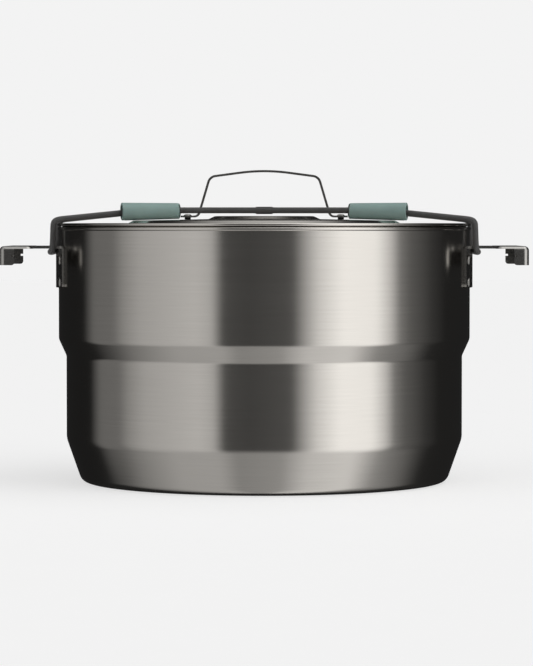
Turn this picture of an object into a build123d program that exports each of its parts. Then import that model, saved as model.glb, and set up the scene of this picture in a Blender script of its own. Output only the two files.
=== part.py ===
"""Camp cooking pot with a lift-off lid, two riveted side handles and an elastic lid strap.

Units are millimetres. +Z is up, +X runs through the side handles, and the origin is under
the middle of the base. Heights of the lid and the strap are given above the pot's rim.
"""

from build123d import *
import os
from math import asin, atan2, cos, degrees, hypot, pi, radians, sin, sqrt

os.makedirs("parts", exist_ok=True)

# ---- pot ----------------------------------------------------------------------------
pot_height = 137.0
wall = 1.0
upper_radius = 110.7        # outside, above the shoulder
lower_radius = 106.6        # outside, below the shoulder
shoulder_top = 77.0
shoulder_bottom = 68.0
taper_top = 23.6            # the foot narrows below this height
foot_radius = 98.5          # where the foot's slope would meet the base
foot_corner = 5.0
pressed_corner = 5.0        # rounding of the shoulder
taper_corner = 12.0
rim_bead = 1.05             # radius of the rolled rim's section

# ---- lid ----------------------------------------------------------------------------
lid_sheet = 0.6
lid_seat = 0.35             # lid sheet above the rim
lid_fit = 0.4               # locating channel inside the rim, each side
channel_depth = 3.5
channel_width = 3.6
hem = 0.8                   # radius of the lid's rolled edge
plateau_radius = 70.5
plateau_slope = 3.5         # radial width of the step up to the plateau
plateau_height = 3.1
dome_height = 3.9           # plateau beside the boss
boss_radius = 26.5
boss_slope = 3.5
boss_height = 5.5
boss_bend = 2.5             # radii of the lid's pressed bends
plateau_bend = 1.5
channel_bend = 0.9

# ---- lid handle ---------------------------------------------------------------------
strip_width = 12.0
strip = 1.0
arch_shoulder = 27.0        # middle of the strip above the rim, at its two upper corners
arch_peak = 30.9            # where the two slopes of the crown would meet
arch_half_span = 29.3
leg_foot = 35.6             # where each leg meets its foot
foot_end = 45.0
foot_height = 5.6
crown_bend = 100.0          # radii of the strip's bends
shoulder_bend = 4.5
foot_bend = 3.0
foot_tip_corner = 3.0
lid_rivet_x = 41.3
lid_rivet_y = 3.1
lid_rivet_shank = 1.0       # radius
lid_rivet_head = 2.0
lid_rivet_rise = 0.8
lid_rivet_corner = 0.56
spacer_radius = 1.6

# ---- side handles -------------------------------------------------------------------
plate = 1.4
leaf_fit = 0.05             # leaf to pot wall
leaf_half_width = 34.0
leaf_bottom = 104.7
leaf_corner = 2.5
handle_top = 126.8
flange = 1.2                # top flange beyond the leaf
neck_length = 10.85         # from the leaf's face to the grip
neck_half_width = 17.0
notch_end = 25.5            # the cord's notch runs from the neck to here
grip_depth = 17.5
grip_half_width = 30.0
lip_depth = 10.1
grip_wing = 8.0             # length of the lip's side wings
grip_corner = 3.0
grip_roll = 2.4
wing_top = 3.2              # upper band of a wing, above its notch
wing_notch = 1.4            # depth of that notch
wing_notch_height = 1.1
wing_corner = 1.6
side_rivet_angle = 14.0
side_rivet_heights = (107.3, 119.0)
side_rivet_shank = 1.5      # radius
side_rivet_head = 2.6
side_rivet_rise = 0.9
side_rivet_corner = 0.72
side_rivet_tail_corner = 0.45
rivet_fit = 0.03            # shank to hole

# ---- elastic strap ------------------------------------------------------------------
cord_radius = 1.65
cord_gap = 0.5              # cord to the legs of the lid handle
cord_rise = 8.9             # cord's middle above the rim, between the sleeves
cord_kink_x = 62.0          # where the cord starts down towards the lid's edge
cord_over_lid = 0.2         # cord above the lid's rolled edge
cord_edge_gap = 0.3         # cord beyond the lid's edge
cord_notch_gap = 1.0        # cord to the side of the neck
cord_under_gap = 0.25       # cord to the underside of the neck
hook_offset = 2.6           # from the leaf's face to where the cord passes under the neck
kink_bend = 60.0
edge_bend = 3.5
hook_bend = 2.5

# ---- sleeves ------------------------------------------------------------------------
sleeve_length = 30.8
sleeve_room = 1.65          # cord to the bore, each side
sleeve_outer_wall = 1.45    # at the outer end
sleeve_inner_wall = 0.9     # at the inner end
sleeve_lip = 0.4
sleeve_x = 61.2
sleeve_over_lid = 0.2       # sleeve above the lid's plateau
sleeve_pitch = 0.7          # outer end lower, degrees
sleeve_skew = 4.5           # turned on the cord, degrees
crimp_wall = 0.3
crimp_length = 9.0
crimp_fit = 0.05


def save(part, name):
    """Label a finished piece and write its STEP file."""
    part.label = name
    export_step(part, f"parts/{name}.step")


def radial_plane(angle):
    """Upright plane through the pot's axis: local x outwards, local y up."""
    a = radians(angle)
    return Plane(origin=(0, 0, 0), x_dir=(cos(a), sin(a), 0), z_dir=(sin(a), -cos(a), 0))


def outward_plane(angle, radius, height):
    """Plane facing outwards from the pot's axis, at a radius and a height."""
    a = radians(angle)
    return Plane(
        origin=(radius * cos(a), radius * sin(a), height),
        x_dir=(-sin(a), cos(a), 0),
        z_dir=(cos(a), sin(a), 0),
    )


def mirrored(part, *planes):
    """A copy of a piece reflected in each plane in turn."""
    copy = part
    for plane in planes:
        with BuildPart() as reflected:
            mirror(copy, about=plane)
        copy = reflected.part
    return copy


def angle_at(offset, radius):
    """Angle in degrees, seen from the pot's axis, of a point offset sideways."""
    return degrees(asin(offset / radius))


rivet_places = [(a, z) for a in (-side_rivet_angle, side_rivet_angle) for z in side_rivet_heights]

# ---- pot body -----------------------------------------------------------------------
# One pressed sheet, drawn as the middle line of its wall, with a rolled bead for a rim.
half_wall = wall / 2
with BuildPart() as pot_body:
    with BuildSketch(Plane.XZ):
        with BuildLine():
            FilletPolyline(
                (0, half_wall),
                (foot_radius - half_wall, half_wall),
                (lower_radius - half_wall, taper_top),
                (lower_radius - half_wall, shoulder_bottom),
                (upper_radius - half_wall, shoulder_top),
                (upper_radius - half_wall, pot_height - rim_bead),
                radius=(foot_corner, taper_corner, pressed_corner, pressed_corner),
            )
        trace(line_width=wall)
        with Locations((upper_radius - half_wall, pot_height - rim_bead)):
            Circle(rim_bead)
    revolve(axis=Axis.Z)
    for side in (0, 180):
        for angle, height in rivet_places:
            with BuildSketch(outward_plane(side + angle, upper_radius - 4 * wall, height)):
                Circle(side_rivet_shank + rivet_fit)
            extrude(amount=6 * wall, mode=Mode.SUBTRACT)
save(pot_body.part, "pot_body")

# ---- lid ----------------------------------------------------------------------------
lid_mid = pot_height + lid_seat + lid_sheet / 2
bead_inner = upper_radius - half_wall - rim_bead
channel_outer = bead_inner - lid_fit - lid_sheet / 2
channel_inner = channel_outer - channel_width
lid_edge = upper_radius + rim_bead - half_wall - hem
lid_rivet_spots = [(x, y) for x in (-lid_rivet_x, lid_rivet_x) for y in (-lid_rivet_y, lid_rivet_y)]
with BuildPart() as lid:
    with BuildSketch(Plane.XZ):
        with BuildLine():
            FilletPolyline(
                (0, pot_height + boss_height),
                (boss_radius, pot_height + boss_height),
                (boss_radius + boss_slope, pot_height + dome_height),
                (plateau_radius, pot_height + plateau_height),
                (plateau_radius + plateau_slope, lid_mid + lid_sheet),
                (channel_inner, lid_mid + lid_sheet / 2),
                (channel_inner, lid_mid - channel_depth),
                (channel_outer, lid_mid - channel_depth),
                (channel_outer, lid_mid),
                (lid_edge, lid_mid),
                radius=[boss_bend] * 2 + [plateau_bend] * 2 + [channel_bend] * 4,
            )
        trace(line_width=lid_sheet)
        with Locations((lid_edge, pot_height + lid_seat + hem)):
            Circle(hem)
    revolve(axis=Axis.Z)
    with BuildSketch(Plane.XY.offset(pot_height)):
        with Locations(*lid_rivet_spots):
            Circle(lid_rivet_shank + rivet_fit)
    extrude(amount=boss_height + lid_sheet, mode=Mode.SUBTRACT)
save(lid.part, "lid")


def plateau_top(radius):
    """Height of the lid's upper surface on its plateau."""
    start = boss_radius + boss_slope
    share = (radius - start) / (plateau_radius - start)
    return pot_height + dome_height + (plateau_height - dome_height) * share + lid_sheet / 2


# ---- lid handle ---------------------------------------------------------------------
# A flat strip bent to an arch on two feet, held off the lid by spacers.
arch_corner = pot_height + arch_shoulder
foot_mid = pot_height + foot_height
with BuildPart() as lid_handle:
    with BuildSketch(Plane.XZ):
        with BuildLine():
            FilletPolyline(
                (-foot_end, foot_mid),
                (-leg_foot, foot_mid),
                (-arch_half_span, arch_corner),
                (0, pot_height + arch_peak),
                (arch_half_span, arch_corner),
                (leg_foot, foot_mid),
                (foot_end, foot_mid),
                radius=(foot_bend, shoulder_bend, crown_bend, shoulder_bend, foot_bend),
            )
        trace(line_width=strip)
    extrude(amount=strip_width / 2, both=True)
    with BuildSketch(Plane.XY.offset(foot_mid - strip)):
        with Locations(*lid_rivet_spots):
            Circle(lid_rivet_shank + rivet_fit)
    extrude(amount=2 * strip, mode=Mode.SUBTRACT)
    foot_tips = lid_handle.edges().filter_by(Axis.Z).group_by(SortBy.LENGTH)[0]
    fillet(foot_tips, radius=foot_tip_corner)
save(lid_handle.part, "lid_handle")

spot_radius = hypot(lid_rivet_x, lid_rivet_y)
lid_top_at_rivet = plateau_top(spot_radius - spacer_radius)
foot_underside = foot_mid - strip / 2
with BuildPart() as lid_handle_spacers:
    with BuildSketch(Plane.XY.offset(lid_top_at_rivet)):
        with Locations(*lid_rivet_spots):
            Circle(spacer_radius)
            Circle(lid_rivet_shank + rivet_fit, mode=Mode.SUBTRACT)
    extrude(amount=foot_underside - lid_top_at_rivet)
save(lid_handle_spacers.part, "lid_handle_spacers")

lid_underside = plateau_top(spot_radius + lid_rivet_head) - lid_sheet - rivet_fit
with BuildPart() as lid_handle_rivets:
    with BuildSketch(Plane.XY.offset(lid_underside - lid_rivet_rise)):
        with Locations(*lid_rivet_spots):
            Circle(lid_rivet_head)
    extrude(amount=lid_rivet_rise - rivet_fit)
    with BuildSketch(Plane.XY.offset(foot_mid + strip / 2)):
        with Locations(*lid_rivet_spots):
            Circle(lid_rivet_head)
    extrude(amount=lid_rivet_rise)
    top_rims = lid_handle_rivets.edges().filter_by(GeomType.CIRCLE).group_by(Axis.Z)[-1]
    fillet(top_rims, radius=lid_rivet_corner)
    with BuildSketch(Plane.XY.offset(lid_underside - lid_rivet_rise)):
        with Locations(*lid_rivet_spots):
            Circle(lid_rivet_shank)
    extrude(amount=foot_mid + strip / 2 - lid_underside + lid_rivet_rise)
save(lid_handle_rivets.part, "lid_handle_rivets")

# ---- side handles -------------------------------------------------------------------
# One pressed plate: a curved leaf on the wall, a neck, and a grip whose lip turns down.
leaf_inner = upper_radius + leaf_fit
leaf_outer = leaf_inner + plate
leaf_mid = leaf_inner + plate / 2
leaf_angle = angle_at(leaf_half_width, leaf_outer)
grip_start = leaf_outer + neck_length
grip_reach = grip_start + grip_depth
plate_mid = handle_top - plate / 2
plate_underside = handle_top - plate
lip_bottom = handle_top - lip_depth
with BuildPart() as grip:
    with BuildSketch(Plane.XY.offset(lip_bottom)) as grip_outline:
        with Locations((grip_start, 0)):
            Rectangle(grip_reach - grip_start, 2 * grip_half_width, align=(Align.MIN, Align.CENTER))
        fillet(grip_outline.vertices(), radius=grip_corner)
    extrude(amount=lip_depth)
    fillet(grip.edges().group_by(Axis.Z)[-1], radius=grip_roll)
    with BuildSketch(Plane.XY.offset(lip_bottom - plate)) as grip_hollow:
        with Locations((grip_start - plate, 0)):
            Rectangle(
                grip_reach - grip_start,
                2 * (grip_half_width - plate),
                align=(Align.MIN, Align.CENTER),
            )
        fillet(grip_hollow.vertices().group_by(Axis.X)[-1], radius=grip_corner - plate)
    extrude(amount=lip_depth, mode=Mode.SUBTRACT)
    wing_start = grip_reach - grip_wing
    with BuildSketch(Plane.XY.offset(lip_bottom - plate)):
        with Locations((grip_start - plate, 0)):
            Rectangle(
                wing_start - grip_start + plate,
                2 * grip_half_width + plate,
                align=(Align.MIN, Align.CENTER),
            )
    extrude(amount=lip_depth, mode=Mode.SUBTRACT)
    with BuildSketch(Plane.XY.offset(plate_underside - wing_top)):
        with Locations((wing_start, 0)):
            Rectangle(
                wing_notch,
                2 * grip_half_width + plate,
                align=(Align.MIN, Align.CENTER),
            )
    extrude(amount=-wing_notch_height, mode=Mode.SUBTRACT)
    wing_tips = grip.edges().filter_by(Axis.Y).group_by(Axis.Z)[0].group_by(Axis.X)[0]
    fillet(wing_tips, radius=wing_corner)

with BuildPart() as right_side_handle:
    with BuildSketch(radial_plane(-leaf_angle)):
        with BuildLine():
            FilletPolyline(
                (leaf_mid, leaf_bottom),
                (leaf_mid, plate_mid),
                (leaf_outer + flange, plate_mid),
                radius=plate,
            )
        trace(line_width=plate)
    revolve(axis=Axis.Z, revolution_arc=2 * leaf_angle)
    leaf_corners = right_side_handle.edges().group_by(Axis.Z)[0].filter_by(GeomType.LINE)
    fillet(leaf_corners, radius=leaf_corner)
    notch_from = angle_at(neck_half_width, leaf_outer)
    notch_to = angle_at(notch_end, leaf_outer)
    for start in (notch_from, -notch_to):
        with BuildSketch(radial_plane(start)):
            with Locations((leaf_outer, plate_mid)):
                Rectangle(2 * flange, 2 * plate, align=(Align.MIN, Align.CENTER))
        revolve(axis=Axis.Z, revolution_arc=notch_to - notch_from, mode=Mode.SUBTRACT)
    with BuildSketch(Plane.XY.offset(plate_underside)):
        with Locations((leaf_outer, 0)):
            Rectangle(
                grip_start - leaf_outer + grip_corner,
                2 * neck_half_width,
                align=(Align.MIN, Align.CENTER),
            )
    extrude(amount=plate)
    add(grip.part)
    for angle, height in rivet_places:
        with BuildSketch(outward_plane(angle, upper_radius - plate, height)):
            Circle(side_rivet_shank + rivet_fit)
        extrude(amount=4 * plate, mode=Mode.SUBTRACT)
save(right_side_handle.part, "right_side_handle")
save(mirrored(right_side_handle.part, Plane.YZ), "left_side_handle")

# One rivet is drawn standing on the leaf's outer surface, then set at each of its places.
inner_face = upper_radius - wall
head_sag = side_rivet_head**2 / (2 * inner_face)
shank_length = leaf_outer - inner_face + head_sag + 2 * rivet_fit
with BuildPart() as side_rivet:
    with BuildSketch():
        Circle(side_rivet_head)
    extrude(amount=side_rivet_rise)
    fillet(side_rivet.edges().group_by(Axis.Z)[-1], radius=side_rivet_corner)
    with BuildSketch(Plane.XY.offset(-shank_length)):
        Circle(side_rivet_shank)
    extrude(amount=shank_length)
    with BuildSketch(Plane.XY.offset(-shank_length)):
        Circle(side_rivet_head)
    extrude(amount=-side_rivet_rise)
    fillet(side_rivet.edges().group_by(Axis.Z)[0], radius=side_rivet_tail_corner)
with BuildPart() as right_handle_rivets:
    seats = [outward_plane(angle, leaf_outer + rivet_fit, height) for angle, height in rivet_places]
    with Locations(*[seat.location for seat in seats]):
        add(side_rivet.part)
save(right_handle_rivets.part, "right_handle_rivets")
save(mirrored(right_handle_rivets.part, Plane.YZ), "left_handle_rivets")

# ---- elastic strap ------------------------------------------------------------------
# One endless cord. Its two strands pass the legs of the lid handle, one in front and one
# behind, fan out to the lid's edge, and join under the neck of each side handle.
inner_y = strip_width / 2 + cord_gap + cord_radius
outer_y = neck_half_width + cord_notch_gap + cord_radius
cord_top = pot_height + cord_rise
edge_x = sqrt((lid_edge + hem) ** 2 - outer_y**2) + cord_edge_gap + cord_radius
cord_at_edge = pot_height + lid_seat + 2 * hem + cord_over_lid + cord_radius
cord_fall = (cord_top - cord_at_edge) / (lid_edge - cord_kink_x)
edge_z = cord_at_edge - (edge_x - lid_edge) * cord_fall
hook_x = leaf_outer + hook_offset
hook_z = plate_underside - cord_under_gap - cord_radius
fan = (outer_y - inner_y) / (edge_x - arch_half_span)
kink_y = inner_y + (cord_kink_x - arch_half_span) * fan
front_right = [
    (arch_half_span, -inner_y, cord_top),
    (cord_kink_x, -kink_y, cord_top),
    (edge_x, -outer_y, edge_z),
    (hook_x, -outer_y, hook_z),
]
rear_right = [(x, -y, z) for x, y, z in reversed(front_right)]
rear_left = [(-x, -y, z) for x, y, z in front_right]
front_left = [(-x, -y, z) for x, y, z in rear_right]
cord_points = front_right + rear_right + rear_left + front_left
strand_bends = [kink_bend, kink_bend, edge_bend, hook_bend]
cord_bends = (strand_bends + strand_bends[::-1]) * 2
with BuildPart() as lid_strap:
    with BuildLine() as cord_path:
        FilletPolyline(*cord_points, radius=cord_bends, close=True)
    with BuildSketch(Plane(origin=cord_path.line @ 0, z_dir=cord_path.line % 0)):
        Circle(cord_radius)
    sweep(path=cord_path.line)
save(lid_strap.part, "lid_strap")
cord_length = cord_path.wires()[0].length
cord_volume = pi * cord_radius**2 * cord_length
print("cord length", round(cord_length, 1))
print("cord volume over section times length", round(lid_strap.part.volume / cord_volume, 4))

with BuildPart() as strap_crimp:
    with BuildSketch(Plane.YZ.offset(-crimp_length / 2)):
        with Locations((inner_y, cord_top)):
            Circle(cord_radius + crimp_fit + crimp_wall)
            Circle(cord_radius + crimp_fit, mode=Mode.SUBTRACT)
    extrude(amount=crimp_length)
save(strap_crimp.part, "strap_crimp")

# ---- sleeves ------------------------------------------------------------------------
# Four slightly tapered tubes, one on each half of each strand.
sleeve_bore = cord_radius + sleeve_room
sleeve_inner = sleeve_bore + sleeve_inner_wall
sleeve_outer = sleeve_bore + sleeve_outer_wall
cord_yaw = degrees(atan2(outer_y - inner_y, edge_x - arch_half_span))
sleeve_yaw = radians(cord_yaw + sleeve_skew)
sleeve_dip = radians(sleeve_pitch)
sleeve_y = inner_y + (sleeve_x - arch_half_span) * fan
sleeve_axis = Vector(
    cos(sleeve_yaw) * cos(sleeve_dip),
    -sin(sleeve_yaw) * cos(sleeve_dip),
    -sin(sleeve_dip),
)
sleeve_height = plateau_top(plateau_radius) + sleeve_over_lid + sleeve_outer
sleeve_middle = Vector(sleeve_x, -sleeve_y, sleeve_height)
sleeve_inner_end = sleeve_middle - sleeve_axis * (sleeve_length / 2)
sleeve_outer_end = sleeve_middle + sleeve_axis * (sleeve_length / 2)
with BuildPart() as front_right_sleeve:
    with BuildSketch(Plane(origin=sleeve_inner_end, z_dir=sleeve_axis)):
        Circle(sleeve_inner)
    with BuildSketch(Plane(origin=sleeve_outer_end, z_dir=sleeve_axis)):
        Circle(sleeve_outer)
    loft()
    fillet(front_right_sleeve.edges(), radius=sleeve_lip)
    with BuildSketch(Plane(origin=sleeve_middle - sleeve_axis * sleeve_length, z_dir=sleeve_axis)):
        Circle(sleeve_bore)
    extrude(amount=2 * sleeve_length, mode=Mode.SUBTRACT)
save(front_right_sleeve.part, "front_right_sleeve")
save(mirrored(front_right_sleeve.part, Plane.YZ), "front_left_sleeve")
save(mirrored(front_right_sleeve.part, Plane.XZ), "rear_right_sleeve")
save(mirrored(front_right_sleeve.part, Plane.YZ, Plane.XZ), "rear_left_sleeve")
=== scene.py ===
"""Camp cooking pot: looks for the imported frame.

The pot, the lid and the rivets are turned from outlines, and the strap is a braided elastic
cord. The handles, washers, crimp and silicone sleeves are the CAD parts with finished materials.
Lengths are metres, +Z is up, and +X runs through the side handles.
"""

from math import cos, pi, radians, sin, sqrt

import bmesh
import bpy
from bpy.props import FloatProperty, IntProperty, PointerProperty, StringProperty
from mathutils import Matrix, Vector


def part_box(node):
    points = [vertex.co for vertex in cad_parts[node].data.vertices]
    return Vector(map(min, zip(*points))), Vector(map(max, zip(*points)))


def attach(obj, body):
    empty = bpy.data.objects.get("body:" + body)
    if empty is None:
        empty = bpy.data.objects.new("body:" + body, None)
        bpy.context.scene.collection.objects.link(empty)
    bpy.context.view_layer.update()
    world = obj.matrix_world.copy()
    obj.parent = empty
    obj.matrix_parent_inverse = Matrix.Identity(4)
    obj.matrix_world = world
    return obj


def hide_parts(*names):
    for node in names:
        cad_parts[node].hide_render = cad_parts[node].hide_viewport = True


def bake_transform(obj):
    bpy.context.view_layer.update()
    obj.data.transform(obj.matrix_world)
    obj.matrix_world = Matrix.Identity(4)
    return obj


bl_info = {
    "name": "Camp Cooking Pot",
    "version": (1, 0, 0),
    "blender": (4, 5, 0),
    "location": "View3D > Sidebar > Camp Pot",
    "description": "Builds a lidded steel camp pot with riveted handles and an elastic lid strap",
    "category": "Object",
}

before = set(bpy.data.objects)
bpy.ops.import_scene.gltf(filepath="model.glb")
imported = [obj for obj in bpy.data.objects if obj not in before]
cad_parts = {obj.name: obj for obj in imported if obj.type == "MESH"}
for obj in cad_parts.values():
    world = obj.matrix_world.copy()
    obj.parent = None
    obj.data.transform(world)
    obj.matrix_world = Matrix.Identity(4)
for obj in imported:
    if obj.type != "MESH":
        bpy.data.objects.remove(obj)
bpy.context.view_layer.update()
MM = 0.001
CRISP = radians(32)          # edges sharper than this stay crisp
NO_AREA = 1e-14              # square metres; a face this small has collapsed on the axis
RIVET_STEPS = 32             # steps round a rivet
CORD_STEPS = 32              # steps round the cord

POT_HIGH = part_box("pot_body")[1]
LID_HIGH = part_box("lid")[1]
RIM = POT_HIGH.z
RIM_BEAD = 1.05 * MM         # radius of the rolled rim
WALL = 1.0 * MM
UPPER = POT_HIGH.x - RIM_BEAD + WALL / 2     # outside radius above the shoulder


# Brightness of the studio round the pot: angle from the camera, positive to the right.
STUDIO = [
    (-180, 0.015), (-119, 0.015), (-109, 0.19), (-92, 0.2), (-84, 0.36), (-72, 0.52), (-38, 0.68),
    (-29, 0.6), (-23, 0.085), (-8, 0.07), (16, 0.1), (30, 0.9), (44, 1.35), (64, 1.3), (74, 0.75),
    (80, 0.26), (88, 0.14), (106, 0.05), (120, 0.02), (180, 0.015),
]
# Brightness of the table as the slanting parts of the wall mirror it.
TABLE_LIGHT = [
    (-180, 0.02), (-112, 0.02), (-92, 0.25), (-60, 0.48), (-30, 0.5), (-18, 0.33), (12, 0.4),
    (30, 0.75), (60, 0.9), (78, 0.35), (100, 0.2), (118, 0.03), (180, 0.02),
]
# Brightness overhead: the main light stands up to the right.
CEILING = [(-180, 0.8), (-100, 0.5), (-40, 0.6), (10, 1.1), (60, 1.7), (120, 1.4), (180, 0.8)]
# Sines of the slants between which the studio turns into the ceiling, and into the table.
OVERHEAD = (0.6, 0.9)
UNDERFOOT = (-0.3, -0.6)
BACKDROP = "#F3F3F3"
CARD = 0.46                  # reflectance of the white card
CARD_GLOW = 0.685


# ---- colours and nodes ---------------------------------------------------------------
def linear(code):
    """An sRGB hex colour as linear red, green, blue and alpha."""
    parts = [int(code[i:i + 2], 16) / 255 for i in (1, 3, 5)]
    return [c / 12.92 if c <= 0.04045 else ((c + 0.055) / 1.055) ** 2.4 for c in parts] + [1.0]


def grey(value):
    """A neutral colour of that brightness."""
    return (value, value, value, 1)


def add_node(tree, kind, inputs=(), stops=(), **settings):
    """Add a node; inputs pairs a socket's name or number with a value or a socket to link,
    and stops are the (place, colour) stops of a colour ramp."""
    node = tree.nodes.new(kind)
    for key, value in settings.items():
        setattr(node, key, value)
    for key, value in dict(inputs).items():
        if isinstance(value, bpy.types.NodeSocket):
            tree.links.new(value, node.inputs[key])
        else:
            node.inputs[key].default_value = value
    for number, (place, colour) in enumerate(stops):
        elements = node.color_ramp.elements
        element = elements[number] if number < len(elements) else elements.new(1.0)
        element.position = place
        element.color = colour
    return node


def new_material(name):
    """An empty material with its tree, Principled shader and Object coordinates."""
    material = bpy.data.materials.new(name)
    material.use_nodes = True
    tree = material.node_tree
    shader = tree.nodes["Principled BSDF"]
    place = add_node(tree, "ShaderNodeTexCoord").outputs["Object"]
    return material, tree, shader, place


def shaded(colour, factor, lift=0.0):
    """A linear colour made darker or lighter by a factor, then lifted evenly."""
    return [min(1, c * factor + lift) for c in colour[:3]] + [1]


def add_tone(tree, shader, pattern, *stops):
    """Colour a shader by a pattern, through the colours at its stops."""
    tone = add_node(tree, "ShaderNodeValToRGB", {"Fac": pattern}, stops)
    tree.links.new(tone.outputs["Color"], shader.inputs["Base Color"])


def add_gloss(tree, shader, pattern, roughness):
    """Vary a shader's roughness between two values by a pattern."""
    gloss = add_node(tree, "ShaderNodeMapRange", {
        "Value": pattern, "From Min": 0.3, "From Max": 0.7, "To Min": roughness[0], "To Max": roughness[1],
    })
    tree.links.new(gloss.outputs[0], shader.inputs["Roughness"])


def add_relief(tree, shader, pattern, depth):
    """Raise a shader's surface by a pattern of that real depth."""
    relief = add_node(tree, "ShaderNodeBump", {"Height": pattern, "Distance": depth, "Strength": 1.0})
    tree.links.new(relief.outputs["Normal"], shader.inputs["Normal"])


# ---- materials -----------------------------------------------------------------------
def spun_coordinate(tree, place, across, along):
    """Coordinates that follow a part turned about Z: radius and height finely, angle slowly."""
    split = add_node(tree, "ShaderNodeSeparateXYZ", {"Vector": place})
    flat = add_node(tree, "ShaderNodeCombineXYZ", {"X": split.outputs["X"], "Y": split.outputs["Y"]})
    radius = add_node(tree, "ShaderNodeVectorMath", {0: flat.outputs[0]}, operation="LENGTH")
    around = add_node(tree, "ShaderNodeVectorMath", {0: flat.outputs[0]}, operation="NORMALIZE")
    turn = add_node(tree, "ShaderNodeVectorMath", {
        0: around.outputs[0], "Scale": along,
    }, operation="SCALE")
    reach = add_node(tree, "ShaderNodeMath", {
        0: radius.outputs["Value"], 1: split.outputs["Z"],
    }, operation="ADD")
    fine = add_node(tree, "ShaderNodeMath", {0: reach.outputs[0], 1: across}, operation="MULTIPLY")
    lift = add_node(tree, "ShaderNodeCombineXYZ", {"Z": fine.outputs[0]})
    return add_node(tree, "ShaderNodeVectorMath", {0: turn.outputs[0], 1: lift.outputs[0]}).outputs[0]


def brushed_steel(name, hue, roughness, anisotropy, brush_mm):
    """Stainless 304 sheet, brushed in the round on a lathe: a warm grey metal whose highlights
    smear up and down, with fine level lines and slow cloudy changes of polish.
    Real brush lines are about 0.05 mm apart; they are drawn coarser so that they show."""
    cloud_mm = 16.67
    line_run, cloud_run = 2.2, 1.4      # lines and clouds in one radius of turn
    streak = 0.035                      # how much darker and lighter the lines are
    material, tree, shader, place = new_material(name)
    lines = add_node(tree, "ShaderNodeTexNoise", {
        "Vector": spun_coordinate(tree, place, 1 / (brush_mm * MM), line_run),
        "Scale": 1.0, "Detail": 3.0, "Roughness": 0.6,
    }).outputs["Fac"]
    clouds = add_node(tree, "ShaderNodeTexNoise", {
        "Vector": spun_coordinate(tree, place, 1 / (cloud_mm * MM), cloud_run),
        "Scale": 1.0, "Detail": 4.0, "Roughness": 0.55,
    }).outputs["Fac"]
    base = linear(hue)
    add_tone(tree, shader, lines, (0.3, shaded(base, 1 - streak)), (0.7, shaded(base, 1 + streak)))
    polish = add_node(tree, "ShaderNodeMix", {0: 0.45, 2: clouds, 3: lines})
    add_gloss(tree, shader, polish.outputs[0], roughness)
    shader.inputs["Metallic"].default_value = 1.0
    shader.inputs["Anisotropic"].default_value = anisotropy
    shader.inputs["Anisotropic Rotation"].default_value = 0.25
    around = add_node(tree, "ShaderNodeTangent", direction_type="RADIAL", axis="Z")
    tree.links.new(around.outputs[0], shader.inputs["Tangent"])
    add_relief(tree, shader, lines, 0.0008 * MM)
    return material


def pressed_steel(name, hue, roughness):
    """Stainless strip and plate, tumbled after pressing: a little duller than the pot, with
    faint short scratches and cloudy smudges where it is handled."""
    scratch_mm, smudge_mm = 0.5, 11.11
    stretch = 0.15                      # scratches run on along X
    material, tree, shader, place = new_material(name)
    fine = 1 / (scratch_mm * MM)
    stretched = add_node(tree, "ShaderNodeMapping", {
        "Vector": place, "Scale": (stretch * fine, fine, fine),
    }).outputs[0]
    scratches = add_node(tree, "ShaderNodeTexNoise", {
        "Vector": stretched, "Scale": 1.0, "Detail": 3.0, "Roughness": 0.7,
    }).outputs["Fac"]
    smudges = add_node(tree, "ShaderNodeTexNoise", {
        "Vector": place, "Scale": 1 / (smudge_mm * MM), "Detail": 3.0,
    }).outputs["Fac"]
    base = linear(hue)
    add_tone(tree, shader, scratches, (0.3, shaded(base, 0.86)), (0.7, base))
    polish = add_node(tree, "ShaderNodeMix", {0: 0.5, 2: smudges, 3: scratches})
    add_gloss(tree, shader, polish.outputs[0], roughness)
    shader.inputs["Metallic"].default_value = 1.0
    add_relief(tree, shader, scratches, 0.006 * MM)
    return material


def braided_polyester(looks):
    """Shock cord: a black polyester braid over rubber strands. Bundles of thread cross over
    and under at a slant, so each shows as a small pillow, raised in relief; the colour runs
    from a painted shade between the bundles to a painted sheen on each crown."""
    fuzz_mm = 1.2
    material, tree, shader, place = new_material("braided_polyester_cord")
    weave = add_node(tree, "ShaderNodeUVMap", uv_map="UVMap").outputs["UV"]
    split = add_node(tree, "ShaderNodeSeparateXYZ", {"Vector": weave})

    def bundles(operation):
        """Bundles of one hand: how far a place is from the gap between two of them."""
        across = add_node(tree, "ShaderNodeMath", {
            0: split.outputs["X"], 1: split.outputs["Y"],
        }, operation=operation)
        turns = add_node(tree, "ShaderNodeMath", {0: across.outputs[0], 1: pi}, operation="MULTIPLY")
        wave = add_node(tree, "ShaderNodeMath", {0: turns.outputs[0]}, operation="SINE")
        return add_node(tree, "ShaderNodeMath", {0: wave.outputs[0]}, operation="ABSOLUTE").outputs[0]

    pillow = add_node(tree, "ShaderNodeMath", {
        0: bundles("ADD"), 1: bundles("SUBTRACT"),
    }, operation="MULTIPLY")
    fuzz = add_node(tree, "ShaderNodeTexNoise", {
        "Vector": place, "Scale": 1 / (fuzz_mm * MM), "Detail": 4.0, "Roughness": 0.7,
    }).outputs["Fac"]
    height = add_node(tree, "ShaderNodeMix", {0: 0.4, 2: pillow.outputs[0], 3: fuzz}).outputs[0]
    # Colour by the braid's height: painted shade between the bundles, painted sheen on the crowns.
    add_tone(tree, shader, height, (0.28, linear(looks.cord_painted_shade_hex)), (0.6, linear(looks.cord_and_sheen_hex)))
    shader.inputs["Roughness"].default_value = 0.5
    shader.inputs["Sheen Weight"].default_value = 0.3
    shader.inputs["Sheen Roughness"].default_value = 0.4
    shader.inputs["IOR"].default_value = 1.55
    add_relief(tree, shader, height, 0.1 * MM)
    return material


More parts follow.
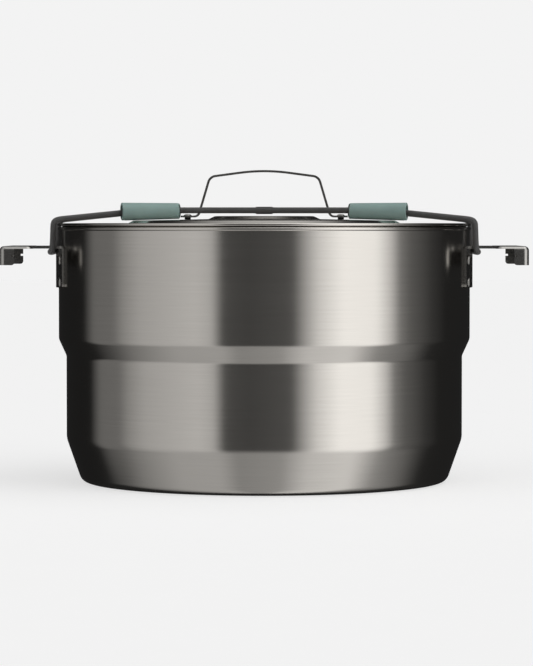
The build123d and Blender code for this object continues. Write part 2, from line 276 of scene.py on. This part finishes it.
def moulded_silicone(looks):
    """Silicone tube, moulded in sage green: soft matt skin with a slight bloom, a fine
    eggshell texture and a few rubbed, paler patches."""
    skin_mm, patch_mm = 0.5, 8.333
    material, tree, shader, place = new_material("moulded_silicone_sage")
    skin = add_node(tree, "ShaderNodeTexNoise", {
        "Vector": place, "Scale": 1 / (skin_mm * MM), "Detail": 4.0, "Roughness": 0.65,
    }).outputs["Fac"]
    rubbed = add_node(tree, "ShaderNodeTexNoise", {
        "Vector": place, "Scale": 1 / (patch_mm * MM), "Detail": 3.0,
    }).outputs["Fac"]
    base = linear(looks.sleeve_hex)
    add_tone(tree, shader, rubbed, (0.35, base), (0.75, shaded(base, 1.12, 0.004)))
    add_gloss(tree, shader, skin, (0.46, 0.6))
    shader.inputs["IOR"].default_value = 1.43
    shader.inputs["Subsurface Weight"].default_value = 0.06
    shader.inputs["Subsurface Scale"].default_value = 1.0 * MM
    add_relief(tree, shader, skin, 0.02 * MM)
    return material


def black_rubber():
    """Nitrile rubber washers: near black, matt, with a fine moulded grain."""
    grain_mm = 0.25
    material, tree, shader, place = new_material("black_nitrile_rubber")
    grain = add_node(tree, "ShaderNodeTexNoise", {
        "Vector": place, "Scale": 1 / (grain_mm * MM), "Detail": 3.0,
    }).outputs["Fac"]
    add_tone(tree, shader, grain, (0.3, linear("#0E0E0F")), (0.8, linear("#1C1C1D")))
    shader.inputs["Roughness"].default_value = 0.7
    add_relief(tree, shader, grain, 0.02 * MM)
    return material


def white_card():
    """Matt white card under the pot, lit a little from below so that it meets the backdrop."""
    fibre_mm = 25.0
    material, tree, shader, place = new_material("white_card")
    fibre = add_node(tree, "ShaderNodeTexNoise", {
        "Vector": place, "Scale": 1 / (fibre_mm * MM), "Detail": 4.0,
    }).outputs["Fac"]
    add_tone(tree, shader, fibre, (0.3, grey(CARD - 0.004)), (0.7, grey(CARD + 0.004)))
    shader.inputs["Roughness"].default_value = 0.9
    shader.inputs["Specular IOR Level"].default_value = 0.1
    shader.inputs["Emission Color"].default_value = linear(BACKDROP)
    shader.inputs["Emission Strength"].default_value = CARD_GLOW
    return material


# ---- mesh helpers --------------------------------------------------------------------
def show(mesh, name, body, nodes):
    """Stand a finished mesh on a body, in place of its CAD nodes."""
    piece = bpy.data.objects.new(name, mesh)
    bpy.context.scene.collection.objects.link(piece)
    if nodes:
        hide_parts(*nodes)
    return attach(piece, body) if body else piece


def dress(material, *nodes):
    """Give CAD nodes, whose shape is already right, a finished material."""
    for node in nodes:
        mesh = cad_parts[node].data
        mesh.materials.clear()
        mesh.materials.append(material)


def smooth(mesh):
    """Shade smooth, with crisp edges where faces turn sharply."""
    mesh.shade_smooth()
    mesh.set_sharp_from_angle(angle=CRISP)
    return mesh


def with_bmesh(mesh, job):
    """Run a job on a mesh through bmesh."""
    work = bmesh.new()
    work.from_mesh(mesh)
    job(work)
    work.to_mesh(mesh)
    work.free()
    return mesh


def arc(centre, radius, start, end, steps):
    """Points of an arc from one angle to another, in degrees."""
    angles = [radians(start + (end - start) * i / steps) for i in range(steps + 1)]
    return [(centre[0] + radius * cos(a), centre[1] + radius * sin(a)) for a in angles]


def rounded(points, bends, steps=6):
    """An open line through points, with each inner corner rounded by its bend radius."""
    line = [Vector(points[0])]
    for before, corner, after, bend in zip(points, points[1:], points[2:], bends):
        corner = Vector(corner)
        back, on = (Vector(before) - corner), (Vector(after) - corner)
        angle = back.angle(on)
        cut = bend / abs(sin(angle / 2)) * cos(angle / 2)
        cut = min(cut, 0.49 * back.length, 0.49 * on.length)      # neighbours never meet
        first, last = corner + back.normalized() * cut, corner + on.normalized() * cut
        for i in range(steps + 1):
            t = i / steps
            line.append(first * (1 - t) ** 2 + corner * 2 * t * (1 - t) + last * t**2)
    line.append(Vector(points[-1]))
    return line


def wall_outline(line, thickness):
    """A closed outline either side of an open middle line that starts on the axis."""
    sides = []
    for i, point in enumerate(line):
        on = line[min(i + 1, len(line) - 1)] - line[max(i - 1, 0)]
        out = Vector((on.y, -on.x)).normalized() * thickness / 2
        sides.append((point + out, point - out))
    return [a for a, _ in sides] + [b for _, b in reversed(sides)]


# ---- geometry nodes ------------------------------------------------------------------
def new_tree(name, **inputs):
    """A Geometry Nodes tree with its group input, whose named inputs come from keyword types."""
    tree = bpy.data.node_groups.new(name, "GeometryNodeTree")
    tree.interface.new_socket("Geometry", in_out="INPUT", socket_type="NodeSocketGeometry")
    for label, kind in inputs.items():
        tree.interface.new_socket(label, in_out="INPUT", socket_type="NodeSocket" + kind)
    tree.interface.new_socket("Geometry", in_out="OUTPUT", socket_type="NodeSocketGeometry")
    return tree, add_node(tree, "NodeGroupInput").outputs


def close_tree(tree, geometry, given):
    """End a tree in Realize Instances and Set Material."""
    real = add_node(tree, "GeometryNodeRealizeInstances", {"Geometry": geometry})
    finish = add_node(tree, "GeometryNodeSetMaterial", {
        "Geometry": real.outputs[0], "Material": given["Material"],
    })
    add_node(tree, "NodeGroupOutput", {"Geometry": finish.outputs[0]})
    return tree


def lathe_tree():
    """Turn an outline, drawn as (radius, -height), about the Z axis."""
    tree, given = new_tree("turned_shell", Segments="Int", Material="Material")
    outline = add_node(tree, "GeometryNodeMeshToCurve", {"Mesh": given["Geometry"]})
    path = add_node(tree, "GeometryNodeCurvePrimitiveCircle", {
        "Resolution": given["Segments"], "Radius": 1.0,
    })
    shell = add_node(tree, "GeometryNodeCurveToMesh", {
        "Curve": path.outputs[0], "Profile Curve": outline.outputs[0],
    })
    return close_tree(tree, shell.outputs[0], given)


def rivet_tree():
    """Set a rivet on each point, turned to the point's own facing."""
    tree, given = new_tree("rivet_rows", Rivet="Object", Material="Material")
    facing = add_node(tree, "GeometryNodeInputNamedAttribute", {
        "Name": "facing",
    }, data_type="FLOAT_VECTOR")
    turn = add_node(tree, "FunctionNodeAlignRotationToVector", {"Vector": facing.outputs[0]}, axis="Z")
    pattern = add_node(tree, "GeometryNodeObjectInfo", {"Object": given["Rivet"]})
    rows = add_node(tree, "GeometryNodeInstanceOnPoints", {
        "Points": given["Geometry"],
        "Instance": pattern.outputs["Geometry"],
        "Rotation": turn.outputs[0],
    })
    return close_tree(tree, rows.outputs[0], given)


def evaluated(mesh, tree, **inputs):
    """Run a tree on a mesh and return the result as a plain mesh."""
    carrier = bpy.data.objects.new("carrier", mesh)
    bpy.context.scene.collection.objects.link(carrier)
    modifier = carrier.modifiers.new("build", "NODES")
    modifier.node_group = tree
    for item in tree.interface.items_tree:
        if item.in_out == "INPUT" and item.name in inputs:
            modifier[item.identifier] = inputs[item.name]
    graph = bpy.context.evaluated_depsgraph_get()
    result = bpy.data.meshes.new_from_object(carrier.evaluated_get(graph))
    bpy.data.objects.remove(carrier)
    return result


def turned(outline, segments, material):
    """A closed outline of (radius, height) points turned about Z, with its poles closed."""
    start = bpy.data.meshes.new("outline")
    count = len(outline)
    sides = [(i, (i + 1) % count) for i in range(count)]
    # The circle that carries the outline has radius 1, so the outline is drawn from there.
    start.from_pydata([(r - 1, -z, 0) for r, z in outline], sides, [])
    mesh = evaluated(start, lathe_tree(), Segments=segments, Material=material)

    def close(work):
        bmesh.ops.remove_doubles(work, verts=work.verts, dist=0.004 * MM)
        flat = [f for f in work.faces if f.calc_area() < NO_AREA]
        bmesh.ops.delete(work, geom=flat, context="FACES_ONLY")
        bmesh.ops.recalc_face_normals(work, faces=work.faces)

    return smooth(with_bmesh(mesh, close))


# ---- settings ------------------------------------------------------------------------
def length(name, description, millimetres):
    """A length setting, given in millimetres."""
    return FloatProperty(name=name, description=description, default=millimetres * MM, unit="LENGTH")


class PotLooks(bpy.types.PropertyGroup):
    """Finish of the pot, its handles and its strap."""
    segments: IntProperty(
        name="Turning steps", description="Steps round a turned shell", default=288, min=48)
    brush: FloatProperty(
        name="Brush lines", description="Spacing of the brushed lines, in mm", default=0.4)
    steel_hex: StringProperty(
        name="Steel", description="Colour of brushed steel", default="#CFCBC5")
    pressed_hex: StringProperty(
        name="Fittings", description="Colour of pressed steel", default="#B9B7B3")
    # The cord's colours paint light: a painted sheen on the braid's crowns over its own dark colour, and a
    # painted shade between the threads.
    cord_and_sheen_hex: StringProperty(
        name="Cord", description="Colour of the braid's crowns", default="#6A6968")
    cord_painted_shade_hex: StringProperty(
        name="Cord shade", description="Between threads", default="#141414")
    sleeve_hex: StringProperty(
        name="Sleeve", description="Colour of the sleeves", default="#93ADA8")


class PotSizes(bpy.types.PropertyGroup):
    """Sizes of the pot body, outside."""
    step: length("Step", "How far the lower wall stands in", 4.1)
    foot: length("Foot", "How far the foot's slope ends in", 12.2)
    foot_top: length("Foot top", "Height where the foot's slope meets the wall", 23.6)
    step_low: length("Step low", "Height where the step starts", 68.0)
    step_high: length("Step high", "Height where the step ends", 77.0)
    bend: length("Bend", "Radius of the foot and of the step", 5.0)
    foot_bend: length("Foot bend", "Radius from the foot's slope to the wall", 12.0)


class LidSizes(bpy.types.PropertyGroup):
    """Sizes of the lid; heights are above the pot's rim, to the middle of the sheet."""
    sheet: length("Sheet", "Thickness", 0.6)
    hem: length("Hem", "Radius of the rolled edge", 0.8)
    seat: length("Seat", "Underside of the sheet", 0.35)
    fit: length("Fit", "Channel inside the rim", 0.4)
    channel: length("Channel", "Width of the locating channel", 3.6)
    depth: length("Depth", "Depth of the locating channel", 3.5)
    boss: length("Boss", "Radius of the raised middle", 26.5)
    boss_height: length("Boss height", "Top of the raised middle", 5.5)
    crown: length("Crown", "Plateau at the boss", 3.9)
    plateau: length("Plateau", "Radius of the plateau", 70.5)
    plateau_height: length("Plateau height", "Plateau at its edge", 3.1)
    slope: length("Slope", "Width of the step up to the boss and to the plateau", 3.5)
    boss_bend: length("Boss bend", "Bend radius", 2.5)
    plateau_bend: length("Plateau bend", "Bend radius", 1.5)
    channel_bend: length("Channel bend", "Bend radius", 0.9)


class RivetSizes(bpy.types.PropertyGroup):
    """Rivets of the side handles and of the lid handle."""
    angle: FloatProperty(
        name="Angle", description="Each side of the handle's middle", default=radians(14), unit="ROTATION")
    low: length("Lower row", "Height", 107.3)
    high: length("Upper row", "Height", 119.0)
    seat: length("Seat", "Axis to the leaf's face", 112.18)
    head: length("Head", "Radius of a head", 2.6)
    rise: length("Rise", "Height of a head", 0.9)
    shank: length("Shank", "Radius of a shank", 1.5)
    grip: length("Grip", "Head to tail", 2.54)
    lid_head: length("Lid head", "Radius of a head", 2.0)
    lid_rise: length("Lid rise", "Height of a head", 0.8)
    lid_shank: length("Lid shank", "Radius of a shank", 1.0)
    lid_grip: length("Lid grip", "Head to tail", 2.83)


class StrapSizes(bpy.types.PropertyGroup):
    """Size of the elastic strap."""
    radius: length("Radius", "Radius of the cord", 1.65)
    picks: IntProperty(name="Threads", description="Bundles of thread round the cord", default=8)
    relief: length("Relief", "Depth between bundles", 0.22)
    step: length("Step", "Length of one ring of faces", 0.42)
    lay: length("Lay", "Length of one turn of a bundle", 9.0)


class StageLooks(bpy.types.PropertyGroup):
    """Camera."""
    distance: length("Distance", "Camera to pot", 1620.0)
    lens: FloatProperty(name="Lens", description="Focal length, in mm", default=162.2)
    eye: FloatProperty(
        name="Eye height", description="Height of the camera", default=RIM + 0.5 * MM, unit="LENGTH")


def cached(name, make):
    """A material by name, made the first time it is asked for."""
    return bpy.data.materials.get(name) or make()


def pot_steel():
    """The pot's steel, brushed in the round."""
    looks = bpy.context.scene.camp_pot
    return cached("brushed_stainless_steel", lambda: brushed_steel(
        "brushed_stainless_steel", looks.steel_hex, (0.15, 0.2), 0.7, looks.brush))


def lid_steel():
    """The lid's steel, spun and a little glossier."""
    looks = bpy.context.scene.camp_pot
    return cached("spun_stainless_lid", lambda: brushed_steel(
        "spun_stainless_lid", looks.steel_hex, (0.14, 0.2), 0.6, looks.brush))


def fitting_steel():
    """Steel of the handles and rivets."""
    looks = bpy.context.scene.camp_pot
    return cached("tumbled_stainless_steel", lambda: pressed_steel(
        "tumbled_stainless_steel", looks.pressed_hex, (0.16, 0.3)))


def black_steel():
    """Steel of the crimp, blackened in a hot oxide bath, so it hides against the cord."""
    return cached("black_oxide_steel", lambda: pressed_steel("black_oxide_steel", "#2C2C2E", (0.35, 0.5)))


def sleeve_silicone():
    """Silicone of the sleeves."""
    return cached("moulded_silicone_sage", lambda: moulded_silicone(bpy.context.scene.camp_pot))


# ---- operators -----------------------------------------------------------------------
class BUILD_OT_pot(bpy.types.Operator):
    """Turn the pot body: flat base, rounded foot, step outwards, straight wall and rolled rim"""
    bl_idname = "camp_pot.body"
    bl_label = "Pot body"

    def execute(self, context):
        sizes = context.scene.camp_pot_body
        half = WALL / 2
        lower, foot = UPPER - sizes.step, UPPER - sizes.foot
        middle = rounded([
            (0, half), (foot - half, half), (lower - half, sizes.foot_top), (lower - half, sizes.step_low),
            (UPPER - half, sizes.step_high), (UPPER - half, RIM - 2.0 * RIM_BEAD),
        ], [sizes.bend, sizes.foot_bend, sizes.bend, sizes.bend], steps=10)
        sides = wall_outline(middle, WALL)
        outer, inner = sides[:len(middle)], sides[len(middle):]
        bead = arc((UPPER - half, RIM - RIM_BEAD), RIM_BEAD, -62, 242, 22)     # open where the wall runs in
        outline = [tuple(p) for p in outer] + bead + [tuple(p) for p in inner]
        mesh = turned(outline, context.scene.camp_pot.segments, pot_steel())
        show(mesh, "pot_shell", "pot", ["pot_body"])
        return {"FINISHED"}


class BUILD_OT_lid(bpy.types.Operator):
    """Turn the lid: raised boss, domed plateau, locating channel and rolled edge"""
    bl_idname = "camp_pot.lid"
    bl_label = "Lid"

    def execute(self, context):
        sizes = context.scene.camp_pot_lid
        sheet, hem = sizes.sheet, sizes.hem
        seat = RIM + sizes.seat + sheet / 2
        edge = LID_HIGH.x - hem
        outer = UPPER - WALL / 2 - RIM_BEAD - sizes.fit - sheet / 2
        inner = outer - sizes.channel
        low = seat - sizes.depth
        boss_top = RIM + sizes.boss_height
        middle = rounded([
            (0, boss_top), (sizes.boss, boss_top), (sizes.boss + sizes.slope, RIM + sizes.crown),
            (sizes.plateau, RIM + sizes.plateau_height), (sizes.plateau + sizes.slope, seat + sheet),
            (inner, seat + sheet / 2), (inner, low), (outer, low), (outer, seat), (edge - hem * 0.8, seat),
        ], [sizes.boss_bend] * 2 + [sizes.plateau_bend] * 2 + [sizes.channel_bend] * 4, steps=7)
        sides = wall_outline(middle, sheet)
        bottom, top = sides[:len(middle)], sides[len(middle):]
        roll = arc((edge, RIM + sizes.seat + hem), hem, -148, 152, 22)     # open where the sheet runs in
        outline = [tuple(p) for p in bottom] + roll + [tuple(p) for p in top]
        mesh = turned(outline, context.scene.camp_pot.segments, lid_steel())
        show(mesh, "lid_shell", "lid", ["lid"])
        return {"FINISHED"}


class BUILD_OT_handles(bpy.types.Operator):
    """Finish the pressed handles: the lid's strip handle, its washers and the two side handles"""
    bl_idname = "camp_pot.handles"
    bl_label = "Handles"

    def execute(self, context):
        dress(fitting_steel(), "lid_handle", "left_side_handle", "right_side_handle")
        dress(cached("black_nitrile_rubber", black_rubber), "lid_handle_spacers")
        return {"FINISHED"}


def rivet_places(side):
    """Where one side handle's rivets stand on its leaf, and which way each faces."""
    rivets = bpy.context.scene.camp_pot_rivets
    places = []
    for angle in (-rivets.angle, rivets.angle):
        out = Vector((side * cos(angle), sin(angle), 0))
        for height in (rivets.low, rivets.high):
            places.append((out * rivets.seat + Vector((0, 0, height)), out))
    return places


def domed_rivet(radius, rise, shank, grip):
    """Outline of a rivet turned about Z: a domed head above 0, a shank and a flat tail below."""
    dome = [(radius * cos(radians(a)), rise * sin(radians(a))) for a in range(90, -1, -10)]
    tail = -grip
    end = tail - rise
    edge = 0.2 * rise
    return dome + [
        (shank, 0), (shank, tail), (radius, tail), (radius, end + edge), (radius - edge, end), (0, end),
    ]


class BUILD_OT_rivets(bpy.types.Operator):
    """Turn the rivets of the side handles and of the lid handle, and set them on their places"""
    bl_idname = "camp_pot.rivets"
    bl_label = "Rivets"

    def execute(self, context):
        rivets = context.scene.camp_pot_rivets
        steel = fitting_steel()
        tree = rivet_tree()
        side = domed_rivet(rivets.head, rivets.rise, rivets.shank, rivets.grip)
        small = domed_rivet(rivets.lid_head, rivets.lid_rise, rivets.lid_shank, rivets.lid_grip)
        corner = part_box("lid_handle_rivets")[1]
        x, y = corner.x - rivets.lid_head, corner.y - rivets.lid_head
        top = corner.z - rivets.lid_rise
        up = Vector((0, 0, 1))
        lid_spots = [(Vector((i * x, j * y, top)), up) for i in (-1, 1) for j in (-1, 1)]
        groups = (
            ("left_handle_rivets", "pot", rivet_places(-1), side),
            ("right_handle_rivets", "pot", rivet_places(1), side),
            ("lid_handle_rivets", "lid", lid_spots, small),
        )
        for node, body, places, outline in groups:
            pattern = bpy.data.objects.new("rivet_pattern", turned(outline, RIVET_STEPS, steel))
            spots = bpy.data.meshes.new("spots")
            spots.from_pydata([place for place, _ in places], [], [])
            facing = spots.attributes.new("facing", "FLOAT_VECTOR", "POINT")
            for entry, (_, out) in zip(facing.data, places):
                entry.vector = out
            mesh = smooth(evaluated(spots, tree, Rivet=pattern, Material=steel))
            show(mesh, node + "_domed", body, [node])
            bpy.data.objects.remove(pattern)
        return {"FINISHED"}


# The strap's route over the front right quarter, in millimetres: the middle of the lid, beside
# the lid handle, through the sleeve, over the lid's edge and down to the side handle's notch.
STRAP_QUARTER = [
    (0.0, -8.15, 145.9), (26.0, -8.15, 145.9), (34.0, -8.8, 145.9), (57.0, -12.0, 145.9),
    (67.0, -13.4, 145.4), (104.0, -18.6, 141.6), (110.0, -19.5, 141.0), (112.3, -19.65, 139.6),
    (112.5, -19.65, 136.0), (112.7, -19.65, 129.0), (113.1, -19.5, 124.4), (114.6, -16.6, 123.5),
]


def strap_route():
    """The whole loop: the quarter, its mirror behind, and both of them again on the left."""
    right_front = STRAP_QUARTER
    right_rear = [(x, -y, z) for x, y, z in reversed(right_front)]
    left_rear = [(-x, -y, z) for x, y, z in right_front[1:]]
    left_front = [(-x, y, z) for x, y, z in reversed(right_front[1:])]
    return right_front + right_rear + left_rear + left_front


def loop_line(points, name):
    """Points of a closed, smooth spline led by a loop of route points."""
    curve = bpy.data.curves.new(name, "CURVE")
    curve.dimensions = "3D"
    spline = curve.splines.new("NURBS")
    spline.points.add(len(points) - 1)
    for place, (x, y, z) in zip(spline.points, points):
        place.co = (x * MM, y * MM, z * MM, 1)
    spline.order_u = 3
    spline.use_cyclic_u = True
    spline.resolution_u = 12
    carrier = bpy.data.objects.new(name, curve)
    line = [v.co.copy() for v in bpy.data.meshes.new_from_object(carrier).vertices]
    bpy.data.objects.remove(carrier)
    return line


def even(line, step):
    """The same closed line read again at an even step."""
    closed = line + [line[0]]
    total = sum((b - a).length for a, b in zip(closed, closed[1:]))
    count = round(total / step)
    found, run, index = [], 0.0, 0
    for i in range(count):
        want = total * i / count
        while run + (closed[index + 1] - closed[index]).length < want:
            run += (closed[index + 1] - closed[index]).length
            index += 1
        span = closed[index + 1] - closed[index]
        found.append(closed[index] + span * ((want - run) / max(span.length, 1e-9)))
    return found, total


def braided_loop(line, total, strap, material):
    """A tube round a closed line, with the braid's pillows raised in the mesh and in its UVs."""
    rings, around = len(line), CORD_STEPS
    picks = strap.picks
    pitch = round(total / strap.lay * picks)      # whole, so that the braid meets itself
    tangents = [(line[(i + 1) % rings] - line[i - 1]).normalized() for i in range(rings)]
    side = tangents[0].orthogonal().normalized()
    sides = [side]
    for before, after in zip(tangents, tangents[1:] + tangents[:1]):
        side = before.rotation_difference(after) @ side
        sides.append(side)
    # A side carried once round comes back turned by a twist, which is spread along the loop.
    twist = sides[0].angle(sides[-1])
    if tangents[0].dot(sides[-1].cross(sides[0])) < 0:
        twist = -twist
    points, faces, weave = [], [], []
    for i in range(rings):
        first = Matrix.Rotation(twist * i / rings, 3, tangents[i]) @ sides[i]
        second = tangents[i].cross(first)
        for j in range(around):
            u, v = picks * j / around, pitch * i / rings
            pillow = sqrt(abs(sin(pi * (u + v)) * sin(pi * (u - v))))
            reach = strap.radius - strap.relief * (1 - pillow)
            a = 2 * pi * j / around
            points.append(line[i] + (first * cos(a) + second * sin(a)) * reach)
    for i in range(rings):
        for j in range(around):
            k, n = (i + 1) % rings, (j + 1) % around
            faces.append((i * around + j, i * around + n, k * around + n, k * around + j))
            u0, u1 = picks * j / around, picks * (j + 1) / around
            v0, v1 = pitch * i / rings, pitch * (i + 1) / rings
            weave += [(u0, v0), (u1, v0), (u1, v1), (u0, v1)]
    mesh = bpy.data.meshes.new("braided_loop")
    mesh.from_pydata(points, [], faces)
    layer = mesh.uv_layers.new(name="UVMap")
    for entry, place in zip(layer.data, weave):
        entry.uv = place
    mesh.shade_smooth()
    mesh.materials.append(material)
    return mesh


class BUILD_OT_strap(bpy.types.Operator):
    """Lay the elastic strap over the lid and finish its crimp"""
    bl_idname = "camp_pot.strap"
    bl_label = "Elastic strap"

    def execute(self, context):
        looks, strap = context.scene.camp_pot, context.scene.camp_pot_strap
        cord = cached("braided_polyester_cord", lambda: braided_polyester(looks))
        line, total = even(loop_line(strap_route(), "strap_route"), strap.step)
        mesh = braided_loop(line, total, strap, cord)
        piece = show(mesh, "strap_braid", None, ["lid_strap"])
        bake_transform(piece)
        dress(black_steel(), "strap_crimp")
        return {"FINISHED"}


class BUILD_OT_sleeves(bpy.types.Operator):
    """Finish the four silicone sleeves on the strap"""
    bl_idname = "camp_pot.sleeves"
    bl_label = "Sleeves"

    def execute(self, context):
        dress(sleeve_silicone(), *(
            row + side + "_sleeve" for row in ("front_", "rear_") for side in ("left", "right")))
        return {"FINISHED"}


def studio_world():
    """A soft studio whose brightness goes by direction, with a pale backdrop for the camera."""
    studio = bpy.data.worlds.new("studio")
    studio.use_nodes = True
    tree = studio.node_tree
    tree.nodes.clear()
    look = add_node(tree, "ShaderNodeTexCoord").outputs["Generated"]
    split = add_node(tree, "ShaderNodeSeparateXYZ", {"Vector": look})
    # Direction round the pot, from 0 behind it through 0.5 towards the camera.
    back = add_node(tree, "ShaderNodeMath", {0: split.outputs["Y"], 1: -1.0}, operation="MULTIPLY")
    turn = add_node(tree, "ShaderNodeMath", {
        0: split.outputs["X"], 1: back.outputs[0],
    }, operation="ARCTAN2")
    share = add_node(tree, "ShaderNodeMapRange", {
        "Value": turn.outputs[0], "From Min": -pi, "From Max": pi, "To Min": 0.0, "To Max": 1.0,
    }).outputs[0]

    def lights(table):
        """Brightness by direction round the pot, from (degrees, brightness) pairs."""
        stops = [(0.5 + angle / 360, grey(value)) for angle, value in table]
        return add_node(tree, "ShaderNodeValToRGB", {"Fac": share}, stops).outputs["Color"]

    dome = lights(STUDIO)
    for (start, end), table in ((OVERHEAD, CEILING), (UNDERFOOT, TABLE_LIGHT)):
        slant = add_node(tree, "ShaderNodeMapRange", {
            "Value": split.outputs["Z"], "From Min": start, "From Max": end, "To Min": 0.0, "To Max": 1.0,
        }, interpolation_type="SMOOTHSTEP").outputs[0]
        dome = add_node(tree, "ShaderNodeMix", {
            0: slant, 6: dome, 7: lights(table),
        }, data_type="RGBA").outputs[2]
    path = add_node(tree, "ShaderNodeLightPath")
    seen = add_node(tree, "ShaderNodeMix", {
        0: path.outputs["Is Camera Ray"], 6: dome, 7: linear(BACKDROP),
    }, data_type="RGBA").outputs[2]
    light = add_node(tree, "ShaderNodeBackground", {"Color": seen, "Strength": 1.0})
    add_node(tree, "ShaderNodeOutputWorld", {"Surface": light.outputs[0]})
    return studio


class BUILD_OT_stage(bpy.types.Operator):
    """Set the white table, the soft studio light and the camera"""
    bl_idname = "camp_pot.stage"
    bl_label = "Stage"

    def execute(self, context):
        scene = context.scene
        stage = scene.camp_pot_stage
        disc = bpy.data.meshes.new("table")

        def lay(work):
            bmesh.ops.create_circle(work, cap_ends=True, segments=96, radius=6.0)

        with_bmesh(disc, lay)
        disc.materials.append(white_card())
        table = bpy.data.objects.new("table", disc)
        table.location.z = -0.2 * MM
        table.visible_glossy = False
        scene.collection.objects.link(table)
        scene.world = studio_world()

        # The camera looks a touch right of the middle, at the height of the pot's shoulder.
        aim = Vector((1.2 * MM, 0, 79.7 * MM))
        eye = Vector((aim.x, -stage.distance, stage.eye))
        camera = bpy.data.cameras.new("camera")
        camera.lens = stage.lens
        camera.sensor_width = 36.0
        camera.clip_end = 50.0
        seat = bpy.data.objects.new("camera", camera)
        seat.location = eye
        seat.rotation_euler = (aim - eye).to_track_quat("-Z", "Y").to_euler()
        scene.collection.objects.link(seat)
        scene.camera = seat
        scene.view_settings.view_transform = "Standard"
        scene.view_settings.look = "None"
        return {"FINISHED"}


class BUILD_PT_panel(bpy.types.Panel):
    """Lists the pieces of the pot"""
    bl_idname = "BUILD_PT_camp_pot"
    bl_label = "Camp Pot"
    bl_space_type = "VIEW_3D"
    bl_region_type = "UI"
    bl_category = "Camp Pot"

    def draw(self, context):
        for operator in OPERATORS:
            self.layout.operator(operator.bl_idname)


SETTINGS = {
    "camp_pot": PotLooks,
    "camp_pot_body": PotSizes,
    "camp_pot_lid": LidSizes,
    "camp_pot_rivets": RivetSizes,
    "camp_pot_strap": StrapSizes,
    "camp_pot_stage": StageLooks,
}
OPERATORS = [
    BUILD_OT_stage, BUILD_OT_pot, BUILD_OT_lid, BUILD_OT_handles, BUILD_OT_rivets, BUILD_OT_strap,
    BUILD_OT_sleeves,
]


def register():
    """Add the settings, operators and panel to Blender."""
    for kind in [*SETTINGS.values(), *OPERATORS, BUILD_PT_panel]:
        bpy.utils.register_class(kind)
    for name, kind in SETTINGS.items():
        setattr(bpy.types.Scene, name, PointerProperty(type=kind))


def unregister():
    """Take them out again."""
    for name in SETTINGS:
        delattr(bpy.types.Scene, name)
    for kind in [BUILD_PT_panel, *OPERATORS[::-1], *SETTINGS.values()]:
        bpy.utils.unregister_class(kind)


def main():
    """Build every piece."""
    register()
    for operator in OPERATORS:
        group, call = operator.bl_idname.split(".")
        getattr(getattr(bpy.ops, group), call)()


if __name__ == "__main__":
    main()
